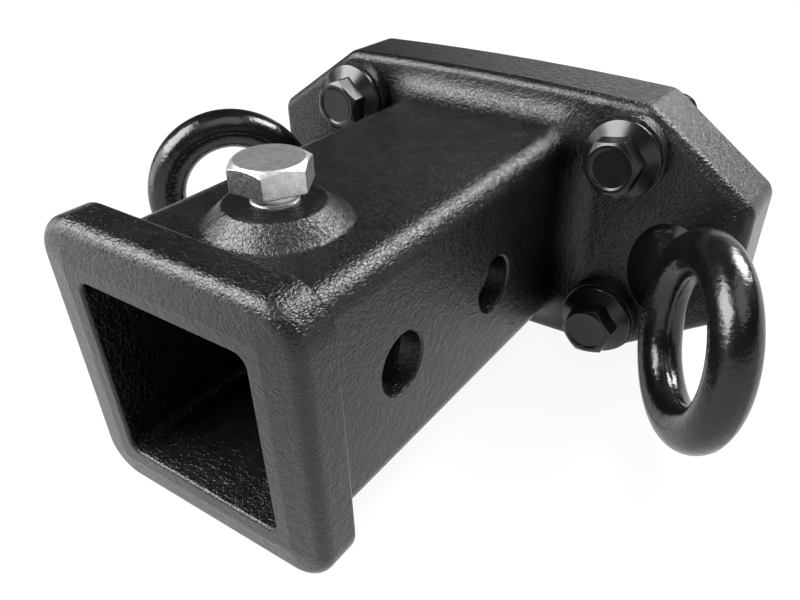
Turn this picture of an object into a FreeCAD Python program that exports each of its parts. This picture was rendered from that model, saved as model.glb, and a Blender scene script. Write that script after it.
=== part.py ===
# Receiver hitch adapter: a cast square socket on a thick bolting plate, with a
# clamp bolt on top, four flange bolts through the plate and two chain rings.
# X points right seen from the mouth, Y runs from the mouth to the plate, Z is up.
# The origin is the centre of the mouth face. All lengths are in millimetres.
import FreeCAD, Part
import math
import os
from FreeCAD import Vector

# Socket
SOCKET_OPENING = 51.2
SOCKET_CORNER_RADIUS = 3.0
MOUTH_EDGE_RADIUS = 0.9

# Tube round the socket
TUBE_WALL = 6.9
TUBE_EDGE_RADIUS = 6.7
TUBE_LENGTH = 135.8

# Collar round the mouth
COLLAR_STEP = 6.9
COLLAR_DEPTH = 12.8
COLLAR_CORNER_RADIUS = 11.0
COLLAR_FACE_FALL = 1.4
COLLAR_FACE_WIDTH = 9.5
COLLAR_FRONT_RADIUS = 3.6
COLLAR_REAR_RADIUS = 1.2
COLLAR_ROOT_RADIUS = 1.5

# Hitch pin holes through both side walls
PIN_HOLE_DIAMETER = 17.0
FRONT_PIN_HOLE_Y = 42.8
REAR_PIN_HOLE_Y = 88.6
PIN_HOLE_EDGE_CHAMFER = 0.6

# Bolt pattern, which the plate is sized to
BOLT_SPACING_X = 101.6
BOLT_SPACING_Z = 57.0

# Bolting plate
PLATE_END_MARGIN = 39.9
PLATE_EDGE_MARGIN = 14.7
PLATE_THICKNESS = 24.4
PLATE_CORNER_CUT_WIDTH = 35.4
PLATE_CORNER_CUT_HEIGHT = 24.2
PLATE_CROWN = 1.2
PLATE_OUTLINE_RADIUS = 6.0
PLATE_FRONT_EDGE_RADIUS = 3.0
PLATE_REAR_EDGE_RADIUS = 1.5
ROOT_RADIUS = 10.0

# Raised pads on the front of the plate, under the bolt flanges
PAD_DIAMETER = 25.6
PAD_HEIGHT = 4.9

# Mounting bolts, with a reduced grip in the plate and threaded ends behind it
BOLT_DIAMETER = 12.0
BOLT_GRIP_DIAMETER = 10.9
BOLT_HOLE_CLEARANCE = 0.5
BOLT_REAR_REACH = 26.0
BOLT_END_CHAMFER = 1.2
FLANGE_DIAMETER = 24.2
FLANGE_RIM = 1.8
FLANGE_CONE_HEIGHT = 4.6
FLANGE_EDGE_BREAK = 0.4
HEX_FLATS = 15.5
HEX_TURN_RIGHT = 10.7
HEX_TURN_LEFT = 21.5
HEX_HEAD_HEIGHT = 10.5
HEX_CHAMFER_DIAMETER = 14.2
HEAD_DISH_DIAMETER = 12.2
HEAD_DISH_DEPTH = 0.6

# Clamp bolt and its threaded boss on top of the tube
BOSS_Y = 38.2
BOSS_BASE_DIAMETER = 36.0
BOSS_TOP_DIAMETER = 25.0
BOSS_HEIGHT = 5.0
BOSS_ROOT_RADIUS = 2.0
BOSS_RIM_RADIUS = 1.2
CLAMP_BOLT_DIAMETER = 11.8
CLAMP_BOLT_LENGTH = 15.7
CLAMP_BOLT_CLEARANCE = 0.05
CLAMP_TIP_INSET = 0.1
CLAMP_TIP_CHAMFER = 1.2
CLAMP_HEX_FLATS = 17.8
CLAMP_HEX_TURN = 1.7
CLAMP_HEAD_HEIGHT = 6.6
CLAMP_CHAMFER_DIAMETER = 16.4

# Chain rings, forged eyes whose foot is welded to the front of the plate
RING_MEAN_RADIUS = 24.5
RING_WIRE_RADIUS = 6.9
RING_TURN = 34.7
RING_LEAN = 4.45
RING_BACK_INSET = 16.22
RING_FOOT_INSET = 21.7
RING_Z = -6.7
RING_NECK_LENGTH = 13.4
RING_NECK_BEND = 0.4
RING_FOOT_HALF_WIDTH = 11.0
RING_FOOT_HALF_HEIGHT = 15.0
RING_NECK_HALF_WIDTH = 9.0
RING_NECK_HALF_HEIGHT = 12.0
RING_END_HALF_WIDTH = 7.0
RING_END_HALF_HEIGHT = 9.0

# Values that follow from the ones above
PLATE_WIDTH = BOLT_SPACING_X + 2 * PLATE_END_MARGIN
PLATE_HEIGHT = BOLT_SPACING_Z + 2 * PLATE_EDGE_MARGIN
BOLT_SEAT_Y = TUBE_LENGTH - PAD_HEIGHT
RING_BACK_X = PLATE_WIDTH / 2 - RING_BACK_INSET
RING_FOOT_X = PLATE_WIDTH / 2 - RING_FOOT_INSET
TUBE_HALF = SOCKET_OPENING / 2 + TUBE_WALL
COLLAR_HALF = TUBE_HALF + COLLAR_STEP
PLATE_REAR_Y = TUBE_LENGTH + PLATE_THICKNESS
BOSS_TOP_Z = TUBE_HALF + BOSS_HEIGHT
CLAMP_TIP_Z = SOCKET_OPENING / 2 + CLAMP_TIP_INSET
CLAMP_SEAT_Z = CLAMP_TIP_Z + CLAMP_BOLT_LENGTH
MARGIN = 5.0

AXIS_Y = Vector(0, 1, 0)
AXIS_Z = Vector(0, 0, 1)


def rounded_square(size, radius, start_y, length):
    """A square bar along Y with its four long edges rounded."""
    bar = Part.makeBox(size, length, size, Vector(-size / 2, start_y, -size / 2))
    return bar.makeFillet(radius, edges_along_y(bar))


def edges_along_y(shape):
    """The straight edges of a shape that run along Y."""
    found = []
    for edge in shape.Edges:
        first, last = edge.Vertexes[0].Point, edge.Vertexes[-1].Point
        run = last - first
        if run.Length > 0 and abs(run.y) > 0.999 * run.Length:
            found.append(edge)
    return found


def edges_at_y(shape, y, reach=None):
    """The edges that lie wholly at one Y and, where a reach is given, only those
    whose middle is about that far from the axis, measured square to it."""
    found = []
    for edge in shape.Edges:
        box = edge.BoundBox
        if abs(box.YMin - y) > 1e-4 or abs(box.YMax - y) > 1e-4:
            continue
        middle = edge.valueAt((edge.FirstParameter + edge.LastParameter) / 2)
        across = max(abs(middle.x), abs(middle.z))
        if reach is None or abs(across - reach) < 0.35 * TUBE_WALL:
            found.append(edge)
    return found


def square_outline(size, radius, y):
    """The outline of such a bar's front end, as a closed wire."""
    bar = rounded_square(size, radius, y, MARGIN)
    for face in bar.Faces:
        if face.BoundBox.YMax < y + 1e-4:
            return face.OuterWire


def make_collar():
    """The thick lip round the mouth. Its face falls away a little from the mouth
    to the rounded front edge."""
    rim = rounded_square(2 * COLLAR_HALF, COLLAR_CORNER_RADIUS, COLLAR_FACE_FALL,
                         COLLAR_DEPTH - COLLAR_FACE_FALL)
    inner = square_outline(2 * (COLLAR_HALF - COLLAR_FACE_WIDTH),
                           COLLAR_CORNER_RADIUS - COLLAR_FACE_WIDTH, 0)
    outer = square_outline(2 * COLLAR_HALF, COLLAR_CORNER_RADIUS, COLLAR_FACE_FALL)
    collar = rim.fuse(Part.makeLoft([inner, outer], True, True)).removeSplitter()
    collar = collar.makeFillet(COLLAR_FRONT_RADIUS, edges_at_y(collar, COLLAR_FACE_FALL))
    return collar.makeFillet(COLLAR_REAR_RADIUS, edges_at_y(collar, COLLAR_DEPTH))


def plate_outline():
    """The eight-sided outline of the plate, its long edges slightly crowned."""
    half_width = PLATE_WIDTH / 2
    half_height = PLATE_HEIGHT / 2
    corner_x = half_width - PLATE_CORNER_CUT_WIDTH
    corner_z = half_height - PLATE_CORNER_CUT_HEIGHT
    edges = []
    for side in (1, -1):
        start = Vector(-side * corner_x, TUBE_LENGTH, side * half_height)
        middle = Vector(0, TUBE_LENGTH, side * (half_height + PLATE_CROWN))
        end = Vector(side * corner_x, TUBE_LENGTH, side * half_height)
        upper = Vector(side * half_width, TUBE_LENGTH, side * corner_z)
        lower = Vector(side * half_width, TUBE_LENGTH, -side * corner_z)
        last = Vector(side * corner_x, TUBE_LENGTH, -side * half_height)
        edges.append(Part.Arc(start, middle, end).toShape())
        edges.append(Part.makeLine(end, upper))
        edges.append(Part.makeLine(upper, lower))
        edges.append(Part.makeLine(lower, last))
    return Part.Wire(edges)


def make_plate():
    """The bolting plate behind the tube."""
    blank = Part.Face(plate_outline()).extrude(AXIS_Y * PLATE_THICKNESS)
    blank = blank.makeFillet(PLATE_OUTLINE_RADIUS, edges_along_y(blank))
    blank = blank.makeFillet(PLATE_FRONT_EDGE_RADIUS, edges_at_y(blank, TUBE_LENGTH))
    return blank.makeFillet(PLATE_REAR_EDGE_RADIUS, edges_at_y(blank, PLATE_REAR_Y))


def make_boss():
    """The low cone that carries the clamp bolt's thread."""
    sunk = TUBE_WALL / 2
    centre = Vector(0, BOSS_Y, TUBE_HALF)
    cone = Part.makeCone(BOSS_BASE_DIAMETER / 2, BOSS_TOP_DIAMETER / 2, BOSS_HEIGHT, centre)
    foot = Part.makeCylinder(BOSS_BASE_DIAMETER / 2, sunk, centre - AXIS_Z * sunk)
    boss = cone.fuse(foot)
    rim = [edge for edge in boss.Edges if edge.BoundBox.ZMin > BOSS_TOP_Z - 1e-4]
    return boss.makeFillet(BOSS_RIM_RADIUS, rim)


def boss_root_edges(body):
    """The circle where the boss meets the top of the tube."""
    found = []
    for edge in body.Edges:
        box = edge.BoundBox
        flat = abs(box.ZMin - TUBE_HALF) < 1e-4 and abs(box.ZMax - TUBE_HALF) < 1e-4
        round_edge = box.XLength > 0.5 * BOSS_BASE_DIAMETER and box.YLength > 0.2 * BOSS_BASE_DIAMETER
        if flat and round_edge and edge.Curve.TypeId == "Part::GeomCircle":
            found.append(edge)
    return found


def chamfered_hole(radius, start, axis, length, chamfer):
    """A drill for a through hole whose two rims get a small chamfer."""
    drill = Part.makeCylinder(radius, length + 2 * MARGIN, start - axis * MARGIN, axis)
    wide = radius + chamfer + MARGIN
    entry = Part.makeCone(wide, radius, wide - radius, start - axis * MARGIN, axis)
    far = start + axis * (length + MARGIN)
    leave = Part.makeCone(wide, radius, wide - radius, far, -axis)
    return drill.fuse([entry, leave])


def bolt_places():
    """The name and the place of each mounting bolt."""
    places = []
    for height, z in (("upper", BOLT_SPACING_Z / 2), ("lower", -BOLT_SPACING_Z / 2)):
        for side, x in (("left", -BOLT_SPACING_X / 2), ("right", BOLT_SPACING_X / 2)):
            places.append((height + "_" + side + "_mounting_bolt", x, z))
    return places


def make_casting():
    """Collar, tube, boss and plate cast in one piece, with the socket and holes."""
    tube = rounded_square(2 * TUBE_HALF, TUBE_EDGE_RADIUS, COLLAR_DEPTH / 2,
                          TUBE_LENGTH - COLLAR_DEPTH / 2 + PLATE_THICKNESS / 2)
    body = tube.fuse([make_collar(), make_plate()]).removeSplitter()
    body = body.makeFillet(ROOT_RADIUS, edges_at_y(body, TUBE_LENGTH, TUBE_HALF))
    body = body.makeFillet(COLLAR_ROOT_RADIUS, edges_at_y(body, COLLAR_DEPTH, TUBE_HALF))
    pads = []
    for name, x, z in bolt_places():
        pads.append(Part.makeCylinder(PAD_DIAMETER / 2, PAD_HEIGHT + PLATE_THICKNESS / 2,
                                      Vector(x, BOLT_SEAT_Y, z), AXIS_Y))
    body = body.fuse(pads + [make_boss()]).removeSplitter()
    body = body.makeFillet(BOSS_ROOT_RADIUS, boss_root_edges(body))

    socket = rounded_square(SOCKET_OPENING, SOCKET_CORNER_RADIUS, -MARGIN,
                            PLATE_REAR_Y + 2 * MARGIN)
    body = body.cut(socket)
    body = body.makeFillet(MOUTH_EDGE_RADIUS, edges_at_y(body, 0, SOCKET_OPENING / 2))

    drills = []
    for y in (FRONT_PIN_HOLE_Y, REAR_PIN_HOLE_Y):
        start = Vector(-TUBE_HALF, y, 0)
        drills.append(chamfered_hole(PIN_HOLE_DIAMETER / 2, start, Vector(1, 0, 0),
                                     2 * TUBE_HALF, PIN_HOLE_EDGE_CHAMFER))
    for name, x, z in bolt_places():
        seat = Vector(x, BOLT_SEAT_Y, z)
        drills.append(Part.makeCylinder(BOLT_DIAMETER / 2 + BOLT_HOLE_CLEARANCE,
                                        PAD_HEIGHT + PLATE_THICKNESS + MARGIN, seat, AXIS_Y))
        above = seat - AXIS_Y * MARGIN
        drills.append(Part.makeCylinder(PAD_DIAMETER / 2, MARGIN, above, AXIS_Y))
    drills.append(Part.makeCylinder(CLAMP_BOLT_DIAMETER / 2 + CLAMP_BOLT_CLEARANCE,
                                    BOSS_TOP_Z + MARGIN, Vector(0, BOSS_Y, 0)))
    return body.cut(drills)


def hexagon(flats, height, centre, axis, turn):
    """A six-sided bar, its flats the given distance apart."""
    corner = flats / math.sqrt(3)
    points = []
    for step in range(7):
        angle = math.radians(60 * step + turn)
        points.append(Vector(corner * math.cos(angle), corner * math.sin(angle), 0))
    bar = Part.Face(Part.makePolygon(points)).extrude(AXIS_Z * height)
    bar.Placement = FreeCAD.Placement(centre, FreeCAD.Rotation(AXIS_Z, axis))
    return bar


def revolved(points, centre, axis):
    """A solid turned from a closed list of (radius, height) points."""
    outline = [Vector(radius, 0, height) for radius, height in points]
    face = Part.Face(Part.makePolygon(outline + outline[:1]))
    solid = face.revolve(Vector(0, 0, 0), AXIS_Z, 360)
    solid.Placement = FreeCAD.Placement(centre, FreeCAD.Rotation(AXIS_Z, axis))
    return solid


def chamfered_head(flats, height, top_diameter, centre, axis, turn):
    """A hexagon head whose six top corners are turned off at thirty degrees."""
    corner = flats / math.sqrt(3)
    top = top_diameter / 2
    drop = (corner - top) * math.tan(math.radians(30))
    envelope = revolved([(0, 0), (corner, 0), (corner, height - drop), (top, height), (0, height)],
                        centre, axis)
    return hexagon(flats, height, centre, axis, turn).common(envelope)


def make_mounting_bolt(x, z):
    """A flange bolt: conical flange and dished hexagon head in front of the
    plate, plain shank through it and out behind."""
    seat = Vector(x, BOLT_SEAT_Y, z)
    forward = -AXIS_Y
    rim = FLANGE_DIAMETER / 2
    neck = HEX_FLATS / 2 - FLANGE_EDGE_BREAK
    turn = HEX_TURN_RIGHT if x > 0 else HEX_TURN_LEFT
    flange = revolved([(0, 0), (rim - FLANGE_EDGE_BREAK, 0), (rim, FLANGE_EDGE_BREAK),
                       (rim, FLANGE_RIM), (neck, FLANGE_CONE_HEIGHT), (0, FLANGE_CONE_HEIGHT)],
                      seat, forward)
    head = chamfered_head(HEX_FLATS, HEX_HEAD_HEIGHT, HEX_CHAMFER_DIAMETER, seat, forward, turn)
    face = seat + forward * HEX_HEAD_HEIGHT
    dish = Part.makeCone(HEAD_DISH_DIAMETER / 2, HEAD_DISH_DIAMETER / 2 - HEAD_DISH_DEPTH,
                         HEAD_DISH_DEPTH, face, AXIS_Y)
    grip = PAD_HEIGHT + PLATE_THICKNESS
    length = grip + BOLT_REAR_REACH
    body = BOLT_GRIP_DIAMETER / 2
    thread = BOLT_DIAMETER / 2
    shank = revolved([(0, -1), (body, -1), (body, grip), (thread, grip),
                      (thread, length - BOLT_END_CHAMFER), (thread - BOLT_END_CHAMFER, length),
                      (0, length)], seat, AXIS_Y)
    return flange.fuse([head, shank]).cut(dish).removeSplitter()


def make_clamp_bolt():
    """The hexagon bolt that presses on the bar in the socket."""
    seat = Vector(0, BOSS_Y, CLAMP_SEAT_Z)
    radius = CLAMP_BOLT_DIAMETER / 2
    head = chamfered_head(CLAMP_HEX_FLATS, CLAMP_HEAD_HEIGHT, CLAMP_CHAMFER_DIAMETER, seat, AXIS_Z,
                          CLAMP_HEX_TURN)
    shank = revolved([(0, 1), (radius, 1), (radius, CLAMP_TIP_CHAMFER - CLAMP_BOLT_LENGTH),
                      (radius - CLAMP_TIP_CHAMFER, -CLAMP_BOLT_LENGTH),
                      (0, -CLAMP_BOLT_LENGTH)], seat, AXIS_Z)
    return head.fuse(shank).removeSplitter()


def upright_ellipse(x, y, half_width, half_height):
    """A closed elliptical wire square to Y, taller than it is wide."""
    centre = Vector(x, y, RING_Z)
    curve = Part.Ellipse(centre + AXIS_Z * half_height, centre + Vector(half_width, 0, 0), centre)
    return Part.Wire(curve.toShape())


def make_chain_ring(side):
    """A forged ring that flares outward from its foot on the plate; side is 1
    for the right ring and -1 for the left."""
    turn = math.radians(RING_TURN)
    lean = math.radians(RING_LEAN)
    reach = Vector(math.sin(turn), -math.cos(turn), 0)
    normal = Vector(math.cos(turn) * math.cos(lean), math.sin(turn) * math.cos(lean), -math.sin(lean))
    back = Vector(RING_BACK_X, TUBE_LENGTH - RING_NECK_LENGTH, RING_Z)
    ring = Part.makeTorus(RING_MEAN_RADIUS, RING_WIRE_RADIUS, back + reach * RING_MEAN_RADIUS, normal)

    bend = (back.x - RING_FOOT_X) * RING_NECK_BEND
    sections = [upright_ellipse(RING_FOOT_X, TUBE_LENGTH, RING_FOOT_HALF_WIDTH, RING_FOOT_HALF_HEIGHT),
                upright_ellipse(RING_FOOT_X + bend, TUBE_LENGTH - RING_NECK_LENGTH / 2,
                                RING_NECK_HALF_WIDTH, RING_NECK_HALF_HEIGHT),
                upright_ellipse(back.x, back.y, RING_END_HALF_WIDTH, RING_END_HALF_HEIGHT)]
    shape = ring.fuse(Part.makeLoft(sections, True)).removeSplitter()
    if side < 0:
        shape = shape.mirror(Vector(0, 0, 0), Vector(1, 0, 0))
    return shape


def write(name, shape):
    """Write one solid to its own file."""
    assert shape.isValid() and len(shape.Solids) == 1, name
    shape.Solids[0].exportStep("parts/" + name + ".step")


def main():
    os.makedirs("parts", exist_ok=True)
    write("receiver_casting", make_casting())
    write("clamp_bolt", make_clamp_bolt())
    write("left_chain_ring", make_chain_ring(-1))
    write("right_chain_ring", make_chain_ring(1))
    for name, x, z in bolt_places():
        write(name, make_mounting_bolt(x, z))


main()
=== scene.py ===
import math

import bpy
from mathutils import Matrix, Vector


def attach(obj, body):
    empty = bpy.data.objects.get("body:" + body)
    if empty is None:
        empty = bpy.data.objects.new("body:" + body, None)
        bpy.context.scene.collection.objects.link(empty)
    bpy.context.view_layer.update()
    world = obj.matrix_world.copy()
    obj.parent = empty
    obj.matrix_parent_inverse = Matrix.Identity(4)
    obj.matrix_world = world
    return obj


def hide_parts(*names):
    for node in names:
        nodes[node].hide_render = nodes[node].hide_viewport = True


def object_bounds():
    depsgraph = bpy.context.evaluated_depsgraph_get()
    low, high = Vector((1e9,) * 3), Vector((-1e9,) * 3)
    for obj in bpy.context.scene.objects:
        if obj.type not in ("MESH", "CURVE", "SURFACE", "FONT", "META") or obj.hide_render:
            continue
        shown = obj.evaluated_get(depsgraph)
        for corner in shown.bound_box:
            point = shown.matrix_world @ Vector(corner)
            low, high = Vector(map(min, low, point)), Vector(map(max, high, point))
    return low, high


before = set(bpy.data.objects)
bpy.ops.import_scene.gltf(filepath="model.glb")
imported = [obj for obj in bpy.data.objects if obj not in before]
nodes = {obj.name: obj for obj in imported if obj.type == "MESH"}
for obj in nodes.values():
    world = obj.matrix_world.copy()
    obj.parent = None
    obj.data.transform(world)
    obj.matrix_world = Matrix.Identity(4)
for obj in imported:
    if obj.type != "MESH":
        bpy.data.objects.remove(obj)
cad_lo, cad_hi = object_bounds()

BODY = "receiver"
CLAMP_BODY = "clamp_bolt"
SIDES = ("left", "right")
LEVELS = ("upper", "lower")

# The camera stands where the photograph was taken from. Its angles, its place
# in metres, and its focal length and image centre in pixels were solved from
# edges and corners of the object.
IMAGE_WIDTH = 800
IMAGE_HEIGHT = 600
SENSOR_WIDTH = 36.0
AZIMUTH = math.radians(32.52)
ELEVATION = math.radians(35.87)
ROLL = math.radians(0.59)
CAMERA_PLACE = Vector((0.11840, -0.07407, 0.11043))
FOCAL_LENGTH = 729.7
IMAGE_CENTRE = (442.2, 345.2)


def make_camera():
    data = bpy.data.cameras.new("camera")
    camera = bpy.data.objects.new("camera", data)
    bpy.context.scene.collection.objects.link(camera)
    level = math.cos(ELEVATION)
    back = Vector((math.sin(AZIMUTH) * level, -math.cos(AZIMUTH) * level, math.sin(ELEVATION)))
    level_right = (-back).cross(Vector((0, 0, 1))).normalized()
    level_up = level_right.cross(-back)
    right = math.cos(ROLL) * level_right + math.sin(ROLL) * level_up
    up = -math.sin(ROLL) * level_right + math.cos(ROLL) * level_up
    placed = Matrix((right, up, back)).transposed().to_4x4()
    placed.translation = CAMERA_PLACE
    camera.matrix_world = placed
    data.sensor_fit = "HORIZONTAL"
    data.sensor_width = SENSOR_WIDTH
    data.lens = FOCAL_LENGTH / IMAGE_WIDTH * SENSOR_WIDTH
    data.shift_x = (IMAGE_WIDTH / 2 - IMAGE_CENTRE[0]) / IMAGE_WIDTH
    data.shift_y = (IMAGE_CENTRE[1] - IMAGE_HEIGHT / 2) / IMAGE_WIDTH
    data.clip_start = 0.005
    data.clip_end = 20
    bpy.context.scene.camera = camera


make_camera()


def rgba(value):
    """A colour for a node, from three numbers or from one grey."""
    return (*value, 1) if isinstance(value, tuple) else (value, value, value, 1)


class Tree:
    """Shader nodes and the links between them."""

    def __init__(self, tree):
        self.tree = tree

    def add(self, kind, **settings):
        node = self.tree.nodes.new(kind)
        for key, value in settings.items():
            setattr(node, key, value)
        return node

    def plug(self, socket, value):
        """Give a socket a number, a colour or the output of a node."""
        if isinstance(value, (int, float)):
            socket.default_value = value
        elif isinstance(value, tuple):
            socket.default_value = rgba(value)
        else:
            self.tree.links.new(value, socket)

    def calculate(self, operation, a, b):
        node = self.add("ShaderNodeMath", operation=operation)
        self.plug(node.inputs[0], a)
        self.plug(node.inputs[1], b)
        return node.outputs[0]

    def ramp(self, source, stops, kind="LINEAR"):
        node = self.add("ShaderNodeValToRGB")
        node.color_ramp.interpolation = kind
        for element, (place, value) in zip(node.color_ramp.elements, stops):
            element.position = place
            element.color = rgba(value)
        self.plug(node.inputs["Fac"], source)
        return node.outputs["Color"]


class Material(Tree):
    """A material whose textures follow the object's own coordinates."""

    def __init__(self, name):
        self.made = bpy.data.materials.new(name)
        self.made.use_nodes = True
        super().__init__(self.made.node_tree)
        self.surface = self.tree.nodes["Principled BSDF"]
        self.coords = self.add("ShaderNodeTexCoord").outputs["Object"]

    def noise(self, scale, detail, rough):
        """Soft noise; scale is in patches per metre."""
        texture = self.add("ShaderNodeTexNoise")
        self.plug(texture.inputs["Scale"], scale)
        self.plug(texture.inputs["Detail"], detail)
        self.plug(texture.inputs["Roughness"], rough)
        self.plug(texture.inputs["Vector"], self.coords)
        return texture.outputs["Fac"]

    def warped_coords(self, scale, reach):
        """The coordinates, pushed about by a noise so that nothing repeats."""
        texture = self.add("ShaderNodeTexNoise")
        self.plug(texture.inputs["Scale"], scale)
        self.plug(texture.inputs["Vector"], self.coords)
        centred = self.add("ShaderNodeVectorMath", operation="SUBTRACT")
        self.plug(centred.inputs[0], texture.outputs["Color"])
        centred.inputs[1].default_value = (0.5, 0.5, 0.5)
        push = self.add("ShaderNodeVectorMath", operation="SCALE")
        self.plug(push.inputs[0], centred.outputs[0])
        self.plug(push.inputs["Scale"], reach * 2)
        total = self.add("ShaderNodeVectorMath", operation="ADD")
        self.plug(total.inputs[0], self.coords)
        self.plug(total.inputs[1], push.outputs[0])
        return total.outputs[0]

    def cell_edges(self, scale, coords):
        """The distance to the nearest edge between irregular cells."""
        texture = self.add("ShaderNodeTexVoronoi", feature="DISTANCE_TO_EDGE")
        self.plug(texture.inputs["Scale"], scale)
        self.plug(texture.inputs["Vector"], coords)
        return texture.outputs["Distance"]

    def weighted(self, *terms):
        """The sum of (output, weight) pairs."""
        total = None
        for source, weight in terms:
            term = self.calculate("MULTIPLY", source, weight)
            total = term if total is None else self.calculate("ADD", total, term)
        return total

    def between(self, source, low, reach):
        """An output from 0 to 1, brought to between low and low plus reach."""
        return self.calculate("ADD", self.calculate("MULTIPLY", source, reach), low)

    def mix(self, share, a, b):
        node = self.add("ShaderNodeMix", data_type="RGBA")
        for socket, value in ((node.inputs[0], share), (node.inputs[6], a), (node.inputs[7], b)):
            self.plug(socket, value)
        return node.outputs[2]

    def bump(self, height, distance):
        """A normal from a height; distance, in metres, is the height of 1."""
        node = self.add("ShaderNodeBump")
        self.plug(node.inputs["Strength"], 1.0)
        self.plug(node.inputs["Distance"], distance)
        self.plug(node.inputs["Height"], height)
        return node.outputs["Normal"]

    def set(self, **values):
        """Fill the surface's sockets; a keyword is the name with underscores."""
        for key, value in values.items():
            self.plug(self.surface.inputs[key.replace("_", " ")], value)


def cast_paint():
    """Black paint over the skin of a sand casting: grains and fine creases."""
    m = Material("cast_black_paint")
    edges = m.cell_edges(720, m.warped_coords(600, 0.0007))
    creases = m.ramp(edges, [(0.0, 0.0), (0.14, 1.0)], "EASE")
    grain = m.noise(1350, 3.0, 0.6)
    wide = m.noise(430, 3.0, 0.5)
    tone = m.noise(160, 3.0, 0.55)
    m.set(Base_Color=m.ramp(tone, [(0.35, (0.003, 0.003, 0.0033)), (0.7, (0.006, 0.006, 0.0063))]),
          Roughness=m.between(tone, 0.17, 0.14),
          Specular_IOR_Level=0.5,
          Normal=m.bump(m.weighted((creases, 0.09), (wide, 0.52), (grain, 0.42)), 0.0005))
    return m.made


def forged_paint():
    """Black paint on smooth forged steel, with the peel of the paint."""
    m = Material("forged_black_paint")
    wide = m.noise(120, 2.0, 0.5)
    peel = m.noise(650, 2.0, 0.5)
    tone = m.noise(140, 3.0, 0.55)
    m.set(Base_Color=m.ramp(tone, [(0.35, (0.003, 0.003, 0.0033)), (0.7, (0.005, 0.005, 0.0053))]),
          Roughness=m.between(tone, 0.16, 0.12),
          Specular_IOR_Level=0.5,
          Normal=m.bump(m.weighted((wide, 0.5), (peel, 0.26)), 0.0005))
    return m.made


def zinc():
    """Bright zinc, with painted shade that darkens the flats facing straight to the front."""
    m = Material("zinc_plated_steel")
    tone = m.noise(700, 3.0, 0.6)
    grain = m.noise(2600, 3.0, 0.6)
    # Painted shade: the flats that face straight to the front get a darker, mottled colour, standing in
    # for the dark surroundings they mirror.
    front_shade_mottle = m.noise(1700, 4.0, 0.7)
    bright = m.ramp(tone, [(0.3, (0.52, 0.52, 0.52)), (0.7, (0.76, 0.76, 0.76))])
    painted_front_shade = m.ramp(front_shade_mottle, [(0.38, (0.10, 0.10, 0.10)), (0.62, (0.34, 0.34, 0.34))])
    facing = m.add("ShaderNodeSeparateXYZ")
    m.plug(facing.inputs[0], m.add("ShaderNodeNewGeometry").outputs["True Normal"])
    # A mask of the flats that face the front, which take the painted shade.
    to_front = m.calculate("MULTIPLY", facing.outputs["Y"], -1.0)
    m.set(Base_Color=m.mix(m.ramp(to_front, [(0.86, 0.0), (0.93, 1.0)]), bright, painted_front_shade),
          Roughness=m.between(grain, 0.22, 0.16),
          Metallic=0.9,
          Normal=m.bump(grain, 0.00009))
    return m.made


def black_oxide():
    """Black oxide on steel, even and a little glossy."""
    m = Material("black_oxide_steel")
    tone = m.noise(300, 3.0, 0.6)
    grain = m.noise(1800, 3.0, 0.6)
    m.set(Base_Color=m.ramp(tone, [(0.3, (0.004, 0.004, 0.0042)), (0.7, (0.007, 0.007, 0.0073))]),
          Roughness=m.between(grain, 0.16, 0.12),
          Specular_IOR_Level=0.45,
          Normal=m.bump(grain, 0.00003))
    return m.made


MATERIALS = {
    "cast_black_paint": cast_paint(),
    "forged_black_paint": forged_paint(),
    "zinc_plated_steel": zinc(),
    "black_oxide_steel": black_oxide(),
}


def dress(node, slot):
    obj = nodes[node]
    obj.data.materials.clear()
    obj.data.materials.append(MATERIALS[slot])


dress("receiver_casting", "cast_black_paint")
for side in SIDES:
    dress(side + "_chain_ring", "forged_black_paint")
    for level in LEVELS:
        dress(level + "_" + side + "_mounting_bolt", "black_oxide_steel")
dress("clamp_bolt", "zinc_plated_steel")

# The pieces are drawn in millimetres in the part's own frame: x to the right,
# y from the socket's mouth to the plate, z up. A bolt is drawn about its own
# axis, with heights counted from the face that its head sits on.
MM = 0.001
STEPS_ROUND = 72

PLATE_FRONT_Y = 135.8
PLATE_REAR_Y = 160.2

BOLT_X = 50.8
BOLT_Z = 28.5
BOLT_SEAT_Y = 130.9
BOLT_END_Y = 186.2
BOLT_FLATS = 15.5
BOLT_CORNER_ROUNDING = 0.35
BOLT_HEAD_TOP = 10.5
BOLT_HEAD_FOOT = 3.9
BOLT_FACE_RADIUS = 7.1
BOLT_TURN = {"left": 21.5, "right": 10.7}
BOLT_THREAD_RADIUS = 6.0
BOLT_THREAD_DEPTH = 1.0
GRIP_RADIUS = 5.45
GRIP_TOP = 0.2
# Radius of each step from grip to thread, and its height over the plate's back
GRIP_STEPS = ((GRIP_RADIUS, 0.4), (5.6, 0.0), (5.95, -0.2), (5.97, -0.6))
# Radius, height and rounding of each corner of the flange and its cone
FLANGE_CORNERS = ((5.6, 0.0, 0), (12.05, 0.0, 0.3), (12.1, 1.8, 0.35), (7.3, 4.6, 0.3), (5.0, 4.62, 0))
# Radius and depth of each step of the dish in the top of the head
DISH_STEPS = ((6.45, 0.0), (6.25, 0.03), (6.1, 0.16), (5.9, 0.42), (5.65, 0.56), (5.3, 0.6), (3.0, 0.6))

CLAMP_Y = 38.2
CLAMP_SEAT_Z = 41.4
CLAMP_FLATS = 17.8
CLAMP_CORNER_ROUNDING = 0.3
CLAMP_HEAD_TOP = 6.6
CLAMP_FACE_RADIUS = 8.2
CLAMP_TURN = 1.7
CLAMP_THREAD_RADIUS = 5.9
CLAMP_THREAD_DEPTH = 0.95
CLAMP_THREAD_START = -4.5
CLAMP_TIP = -15.7
# Radius, height and rounding of each corner of the neck under the head
CLAMP_NECK_CORNERS = ((5.2, 0.1, 0), (5.6, 0.1, 0), (5.6, -3.1, 0.25), (5.9, -3.45, 0.12),
                      (5.9, -4.3, 0.15), (5.75, -4.6, 0))
# Radius and depth of each step of the slightly sunk top of the head
CLAMP_TOP_STEPS = ((7.9, 0.02), (7.6, 0.09), (7.2, 0.1), (4.0, 0.1))

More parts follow.
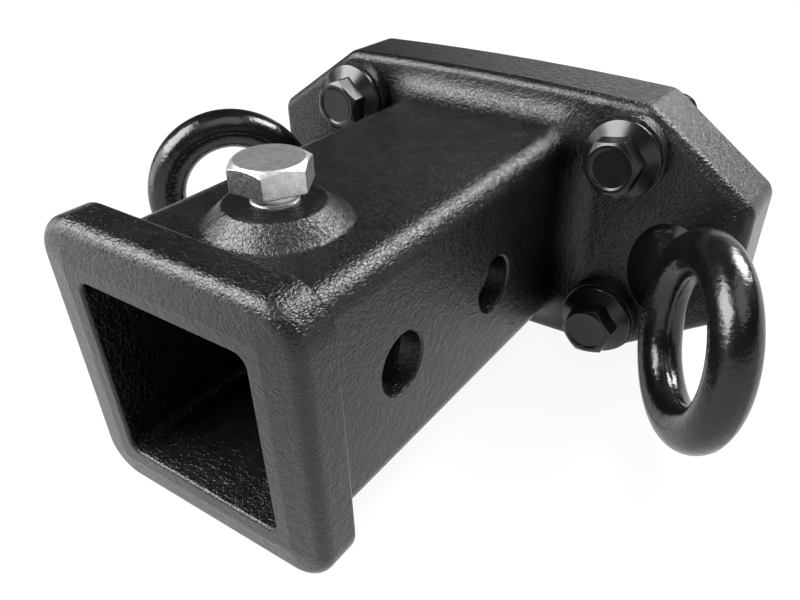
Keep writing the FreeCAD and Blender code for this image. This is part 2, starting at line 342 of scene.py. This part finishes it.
THREAD_PITCH = 1.75
THREAD_CHAMFER = 1.2
THREAD_LEAD_IN = 1.2
THREAD_ROWS_PER_PITCH = 10
# Shares of half a pitch
THREAD_CREST_SHARE = 0.12
THREAD_FLANK_SHARE = 0.7

CORNER_STEPS = 5
# A support point stands this many roundings from its corner
SUPPORT_REACH = 1.3
HEXAGON_CORNER_ANGLES = (-30, -15, 0, 15, 30)
HEXAGON_SIDE_SHARES = (0.04, 0.12, 0.22, 0.34, 0.46, 0.58, 0.7, 0.8, 0.9, 0.96)
HEAD_CHAMFER_SLOPE = math.tan(math.radians(30))
# Inset and rise of each row round the foot of a hexagon head
HEAD_FOOT_ROWS = ((3.0, 0.0), (0.5, 0.0), (0.15, 0.0), (0.04, 0.04), (0.0, 0.15), (0.0, 0.4))
# Depth and inset of each row where the sides meet the turned-off corners
HEAD_EDGE_ROWS = ((0.35, 0.0), (0.16, 0.0), (0.07, 0.02), (0.0, 0.09), (-0.045, 0.19))
# Distance outside the top face's circle, and depth, of each row round it
HEAD_FACE_ROWS = ((0.16, 0.1), (0.06, 0.035), (-0.06, 0.005), (-0.2, 0.0))


class Shape:
    """Points and faces in millimetres, gathered for one mesh."""

    def __init__(self):
        self.points = []
        self.faces = []

    def rows(self, loops, close_start=False, close_end=False):
        """Join loops of equally many points with faces."""
        first = len(self.points)
        count = len(loops[0])
        for loop in loops:
            self.points.extend(loop)
        for row in range(len(loops) - 1):
            a = first + row * count
            for i in range(count):
                j = (i + 1) % count
                self.faces.append((a + i, a + j, a + count + j, a + count + i))
        if close_start:
            self.faces.append(tuple(first + i for i in reversed(range(count))))
        if close_end:
            last = first + (len(loops) - 1) * count
            self.faces.append(tuple(last + i for i in range(count)))

    def turned(self, profile):
        """Add a profile of (radius, height) points turned round the axis."""
        self.rows([circle(radius, height) for radius, height in profile])

    def mesh(self, name, place):
        """The mesh in metres; place puts a point where it belongs on the part."""
        mesh = bpy.data.meshes.new(name)
        mesh.from_pydata([Vector(place(*point)) * MM for point in self.points], [], self.faces)
        mesh.polygons.foreach_set("use_smooth", [True] * len(mesh.polygons))
        mesh.validate()
        return mesh


def round_angles(count):
    return [2 * math.pi * i / count for i in range(count)]


def circle(radius, height):
    return [(radius * math.cos(a), radius * math.sin(a), height) for a in round_angles(STEPS_ROUND)]


def between_0_and_1(value):
    return min(max(value, 0.0), 1.0)


def soft_profile(corners):
    """A profile of (radius, height, rounding) corners, with each corner rounded."""
    points = []
    for i, (radius, height, rounding) in enumerate(corners):
        if rounding == 0:
            points.append((radius, height))
            continue
        here = Vector((radius, height))
        before = (Vector(corners[i - 1][:2]) - here).normalized() * rounding
        after = (Vector(corners[i + 1][:2]) - here).normalized() * rounding
        points.append(tuple(here + before * SUPPORT_REACH))
        for step in range(CORNER_STEPS + 1):
            t = step / CORNER_STEPS
            points.append(tuple(here + before * (1 - t) ** 2 + after * t ** 2))
        points.append(tuple(here + after * SUPPORT_REACH))
    return points


def hexagon(flats, rounding, turn):
    """Points round a hexagon whose corners are a little rounded."""
    reach = (flats / 2 - rounding) / math.cos(math.radians(30))
    arcs = []
    for corner in range(6):
        middle = math.radians(60 * corner + turn)
        cx, cy = reach * math.cos(middle), reach * math.sin(middle)
        angles = [middle + math.radians(a) for a in HEXAGON_CORNER_ANGLES]
        arcs.append([(cx + rounding * math.cos(a), cy + rounding * math.sin(a)) for a in angles])
    points = []
    for corner in range(6):
        points.extend(arcs[corner])
        ax, ay = arcs[corner][-1]
        bx, by = arcs[(corner + 1) % 6][0]
        points.extend((ax + (bx - ax) * t, ay + (by - ay) * t) for t in HEXAGON_SIDE_SHARES)
    return points


def hex_head(shape, outline, foot, top, face_radius, inner_steps):
    """A hexagon head whose corners are turned off at thirty degrees.

    outline is the hexagon, foot and top are heights, face_radius is the radius
    of the top face, and inner_steps are radii and depths from its edge inward.
    """
    def at(x, y, reach, z):
        length = math.hypot(x, y)
        return x * reach / length, y * reach / length, z

    loops = []
    for inset, rise in HEAD_FOOT_ROWS:
        loops.append([at(x, y, math.hypot(x, y) - inset, foot + rise) for x, y in outline])
    for depth, inset in HEAD_EDGE_ROWS:
        loop = []
        for x, y in outline:
            reach = math.hypot(x, y)
            edge = top - max(0.0, reach - face_radius) * HEAD_CHAMFER_SLOPE
            loop.append(at(x, y, reach - inset, edge - depth))
        loops.append(loop)
    for outside, depth in HEAD_FACE_ROWS:
        loops.append([at(x, y, face_radius + outside, top - depth) for x, y in outline])
    for radius, depth in inner_steps:
        loops.append([at(x, y, radius, top - depth) for x, y in outline])
    shape.rows(loops, close_start=True, close_end=True)


def threaded(shape, radius, depth, start, end):
    """A threaded bar that runs down from start to end and ends in a chamfer."""
    steps = int((start - end) / THREAD_PITCH * THREAD_ROWS_PER_PITCH)
    loops = []
    for i in range(steps + 1):
        height = start + (end - start) * i / steps
        down = start - height
        lead_in = min(1.0, down / THREAD_LEAD_IN)
        loop = []
        for k, a in enumerate(round_angles(STEPS_ROUND)):
            phase = (down / THREAD_PITCH + k / STEPS_ROUND) % 1.0
            from_crest = abs(2 * phase - 1)
            groove = between_0_and_1((from_crest - THREAD_CREST_SHARE) / THREAD_FLANK_SHARE)
            r = min(radius - depth * groove * lead_in, radius - THREAD_CHAMFER + height - end)
            loop.append((r * math.cos(a), r * math.sin(a), height))
        loops.append(loop)
    shape.rows(loops, close_end=True)


def add_piece(mesh, slot, body, node):
    mesh.materials.append(MATERIALS[slot])
    piece = bpy.data.objects.new(mesh.name, mesh)
    bpy.context.scene.collection.objects.link(piece)
    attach(piece, body)
    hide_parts(node)


def mounting_bolt(level, side):
    """A flange bolt with a dished hexagon head, a plain grip and a thread."""
    x = BOLT_X if side == "right" else -BOLT_X
    z = BOLT_Z if level == "upper" else -BOLT_Z
    rear = BOLT_SEAT_Y - PLATE_REAR_Y
    grip = [(radius, rear + height) for radius, height in GRIP_STEPS]
    thread_start = grip[-1][1]
    outline = hexagon(BOLT_FLATS, BOLT_CORNER_ROUNDING, BOLT_TURN[side])
    shape = Shape()
    shape.turned(soft_profile(FLANGE_CORNERS))
    hex_head(shape, outline, BOLT_HEAD_FOOT, BOLT_HEAD_TOP, BOLT_FACE_RADIUS, DISH_STEPS)
    shape.turned([(GRIP_RADIUS, GRIP_TOP)] + grip)
    threaded(shape, BOLT_THREAD_RADIUS, BOLT_THREAD_DEPTH, thread_start, BOLT_SEAT_Y - BOLT_END_Y)
    mesh = shape.mesh(level + "_" + side + "_flange_bolt",
                      lambda px, py, height: (x + px, BOLT_SEAT_Y - height, z + py))
    add_piece(mesh, "black_oxide_steel", BODY, level + "_" + side + "_mounting_bolt")


def clamping_bolt():
    """A hexagon bolt with a plain neck and a thread, upright in its boss."""
    outline = hexagon(CLAMP_FLATS, CLAMP_CORNER_ROUNDING, CLAMP_TURN)
    shape = Shape()
    hex_head(shape, outline, 0.0, CLAMP_HEAD_TOP, CLAMP_FACE_RADIUS, CLAMP_TOP_STEPS)
    shape.turned(soft_profile(CLAMP_NECK_CORNERS))
    threaded(shape, CLAMP_THREAD_RADIUS, CLAMP_THREAD_DEPTH, CLAMP_THREAD_START, CLAMP_TIP)
    mesh = shape.mesh("hexagon_clamp_bolt",
                      lambda px, py, height: (px, CLAMP_Y + py, CLAMP_SEAT_Z + height))
    add_piece(mesh, "zinc_plated_steel", CLAMP_BODY, "clamp_bolt")


for level in LEVELS:
    for side in SIDES:
        mounting_bolt(level, side)
clamping_bolt()

# The right chain ring, in millimetres. It starts at its back point, beside the
# plate, and reaches forward and outward; its top leans out over its foot.
RING_RADIUS = 24.5
RING_WIRE = 6.9
RING_WIRE_FLATTENING = 0.985
RING_TURN = math.radians(34.7)
RING_LEAN = math.radians(4.45)
RING_BACK = Vector((74.48, 122.4, -6.7))
RING_REACH = Vector((math.sin(RING_TURN), -math.cos(RING_TURN), 0))
RING_AXIS = Vector((math.cos(RING_TURN) * math.cos(RING_LEAN),
                    math.sin(RING_TURN) * math.cos(RING_LEAN),
                    -math.sin(RING_LEAN)))
RING_DOWN = RING_AXIS.cross(RING_REACH)
RING_CENTRE = RING_BACK + RING_REACH * RING_RADIUS
RING_STEPS = 160
WIRE_STEPS = 48
NECK_STEPS = 64
# Each section of the neck, from the plate outward: x, distance from the plate,
# half the width and half the height
NECK_SECTIONS = ((69.0, 0.0, 13.2, 17.4), (69.05, 0.9, 12.0, 16.1), (69.3, 2.4, 10.8, 14.7),
                 (70.0, 4.4, 9.8, 13.2), (71.2, 6.7, 8.9, 11.8), (72.8, 10.0, 7.9, 10.2),
                 (74.5, 13.4, 6.6, 8.4))
# The neck carries no forging marks within this distance of the plate
UNMARKED_LENGTH = 12
RIDGE_OFFSET = 2.6
RIDGE_HEIGHT = 0.15
RIDGE_WIDTH = 1.1
INSIDE_DEPTH = 0.30
INSIDE_RISE = 0.10
GROOVE_DEPTH = 0.16
GROOVE_WIDTH = 0.42
BLEND_VOXEL = 0.42
BLEND_FACTOR = 0.5
BLEND_ROUNDS = 24
# Blending draws the foot back from the plate by FOOT_LOSS. This is given back
# from FOOT_LOSS_START before the plate on, and grows over FOOT_LOSS_RUN.
FOOT_LOSS = 0.35
FOOT_LOSS_START = 1.5
FOOT_LOSS_RUN = 1.0


def ring_blank():
    """The ring and its neck as two overlapping closed shapes."""
    shape = Shape()
    loops = []
    for a in round_angles(RING_STEPS):
        out = RING_REACH * -math.cos(a) + RING_DOWN * math.sin(a)
        loops.append([tuple(RING_CENTRE + out * (RING_RADIUS + RING_WIRE * math.cos(b))
                            + RING_AXIS * (RING_WIRE * RING_WIRE_FLATTENING * math.sin(b)))
                      for b in round_angles(WIRE_STEPS)])
    shape.rows(loops + loops[:1])
    loops = []
    for x, distance, half_width, half_height in NECK_SECTIONS:
        y = PLATE_FRONT_Y - distance
        loops.append([(x + half_width * math.cos(b), y, RING_BACK.z + half_height * math.sin(b))
                      for b in round_angles(NECK_STEPS)])
    shape.rows(loops, close_start=True, close_end=True)
    return shape


def forged_marks(point):
    """How far the forging's marks stand out at a point of the ring.

    Outside, a low ridge runs beside the middle. Inside, the surface lies a
    little lower, with a narrow groove that wanders along its middle.
    """
    if point.y > PLATE_FRONT_Y - UNMARKED_LENGTH:
        return 0.0
    away = point - RING_CENTRE
    side = away.dot(RING_AXIS)
    flat = away - RING_AXIS * side
    along = math.atan2(flat.dot(RING_DOWN), -flat.dot(RING_REACH))
    wander = 0.35 * math.sin(3 * along + 0.6) + 0.12 * math.sin(11 * along)
    if flat.length > RING_RADIUS:
        from_ridge = abs(side - RIDGE_OFFSET - 0.3 * wander)
        return RIDGE_HEIGHT * math.exp(-from_ridge / RIDGE_WIDTH)
    groove_width = GROOVE_WIDTH + 0.08 * math.sin(7 * along)
    groove = GROOVE_DEPTH * math.exp(-((side - wander) / groove_width) ** 2)
    return -INSIDE_DEPTH + INSIDE_RISE * abs(side) / RING_WIRE - groove


def chain_ring(side):
    """The blank, blended into one skin, marked, and mirrored for the left side."""
    blank_mesh = ring_blank().mesh(side + "_forged_ring", lambda x, y, z: (x, y, z))
    blank = bpy.data.objects.new("blank", blank_mesh)
    bpy.context.scene.collection.objects.link(blank)
    join = blank.modifiers.new("join", "REMESH")
    join.mode = "VOXEL"
    join.voxel_size = BLEND_VOXEL * MM
    blend = blank.modifiers.new("blend", "SMOOTH")
    blend.factor = BLEND_FACTOR
    blend.iterations = BLEND_ROUNDS
    bpy.context.view_layer.update()
    view = bpy.context.evaluated_depsgraph_get()
    made = bpy.data.meshes.new_from_object(blank.evaluated_get(view))
    bpy.data.objects.remove(blank)
    normals = [vertex.normal.copy() for vertex in made.vertices]
    for vertex, normal in zip(made.vertices, normals):
        spot = vertex.co / MM
        vertex.co += normal * forged_marks(spot) * MM
        from_start = spot.y - (PLATE_FRONT_Y - FOOT_LOSS_START)
        loss = FOOT_LOSS * between_0_and_1(from_start / FOOT_LOSS_RUN)
        vertex.co.y = min(vertex.co.y + loss * MM, PLATE_FRONT_Y * MM)
        if side == "left":
            vertex.co.x = -vertex.co.x
    if side == "left":
        made.flip_normals()
    made.polygons.foreach_set("use_smooth", [True] * len(made.polygons))
    made.name = side + "_forged_ring"
    made.materials.clear()
    add_piece(made, "forged_black_paint", BODY, side + "_chain_ring")


for side in SIDES:
    chain_ring(side)

# The stage: a pale floor and a pale world that the camera sees as white, and
# that light the part only a little, so that the lamps shape it.
FLOOR_HALF_SIZE = 3.0
FLOOR_GAP = 0.00005
FLOOR_GLOW = 0.92
FLOOR_GREY = 0.07
FILL_STRENGTH = 0.28
# A gloss ray sees the world white below this height and dark above the next
GLOSS_WHITE_Z = 0.22
GLOSS_DARK_Z = 0.38
GLOSS_DARK_GREY = 0.03
# It also sees the world's far left dimmer than the rest
GLOSS_DIM_X = -0.62
GLOSS_FULL_X = -0.35
GLOSS_DIM_STRENGTH = 0.12
LAMP_TARGET = Vector((0, 0.07, 0))


def make_floor():
    size = FLOOR_HALF_SIZE
    z = cad_lo[2] - FLOOR_GAP
    mesh = bpy.data.meshes.new("floor")
    mesh.from_pydata([(-size, -size, z), (size, -size, z), (size, size, z), (-size, size, z)], [],
                     [(0, 1, 2, 3)])
    floor = bpy.data.objects.new("floor", mesh)
    bpy.context.scene.collection.objects.link(floor)
    m = Material("floor_white")
    rays = m.add("ShaderNodeLightPath").outputs
    seen = m.calculate("MAXIMUM", rays["Is Camera Ray"], rays["Is Glossy Ray"])
    seen = m.calculate("MAXIMUM", seen, rays["Is Transmission Ray"])
    m.set(Base_Color=(FLOOR_GREY, FLOOR_GREY, FLOOR_GREY),
          Roughness=0.9,
          Specular_IOR_Level=0.1,
          Emission_Color=(1, 1, 1),
          Emission_Strength=m.calculate("MULTIPLY", seen, FLOOR_GLOW))
    mesh.materials.append(m.made)


def make_world():
    world = bpy.data.worlds.new("studio")
    bpy.context.scene.world = world
    world.use_nodes = True
    world.node_tree.nodes.clear()
    t = Tree(world.node_tree)

    def background(colour, strength):
        node = t.add("ShaderNodeBackground")
        t.plug(node.inputs["Color"], colour)
        t.plug(node.inputs["Strength"], strength)
        return node.outputs[0]

    def mix_shader(share, a, b):
        node = t.add("ShaderNodeMixShader")
        for socket, value in zip(node.inputs, (share, a, b)):
            t.plug(socket, value)
        return node.outputs[0]

    rays = t.add("ShaderNodeLightPath").outputs
    direction = t.add("ShaderNodeSeparateXYZ")
    t.plug(direction.inputs[0], t.add("ShaderNodeTexCoord").outputs["Generated"])
    gloss_grey = t.ramp(direction.outputs["Z"], [(GLOSS_WHITE_Z, 1.0), (GLOSS_DARK_Z, GLOSS_DARK_GREY)])
    across = t.add("ShaderNodeMapRange")
    t.plug(across.inputs["From Min"], GLOSS_DIM_X)
    t.plug(across.inputs["From Max"], GLOSS_FULL_X)
    t.plug(across.inputs["To Min"], GLOSS_DIM_STRENGTH)
    t.plug(across.inputs["To Max"], 1.0)
    t.plug(across.inputs["Value"], direction.outputs["X"])
    fill = background((1, 1, 1), FILL_STRENGTH)
    gloss = background(gloss_grey, across.outputs["Result"])
    white = background((1, 1, 1), 1.0)
    mirrored = t.calculate("MAXIMUM", rays["Is Glossy Ray"], rays["Is Transmission Ray"])
    unseen = mix_shader(mirrored, fill, gloss)
    everything = mix_shader(rays["Is Camera Ray"], unseen, white)
    t.plug(t.add("ShaderNodeOutputWorld").inputs[0], everything)


def softbox(name, direction, distance, size, power):
    """A lamp that looks at the part from a direction; lengths are in metres."""
    data = bpy.data.lights.new(name, "AREA")
    data.shape = "RECTANGLE"
    data.size, data.size_y = size
    data.energy = power
    lamp = bpy.data.objects.new(name, data)
    bpy.context.scene.collection.objects.link(lamp)
    away = Vector(direction).normalized()
    lamp.location = LAMP_TARGET + away * distance
    lamp.rotation_euler = (-away).to_track_quat("-Z", "Y").to_euler()


make_floor()
make_world()
softbox("key", direction=(-0.50, -0.50, 0.70), distance=0.8, size=(0.6, 0.5), power=14.0)
softbox("left", direction=(-0.80, -0.45, 0.22), distance=0.8, size=(0.5, 0.5), power=2.6)
softbox("rear", direction=(0.30, 0.62, 0.72), distance=0.8, size=(0.36, 0.34), power=9.0)
softbox("top", direction=(0.35, -0.15, 1.0), distance=0.9, size=(0.6, 0.6), power=2.2)

bpy.context.scene.view_settings.view_transform = "Standard"
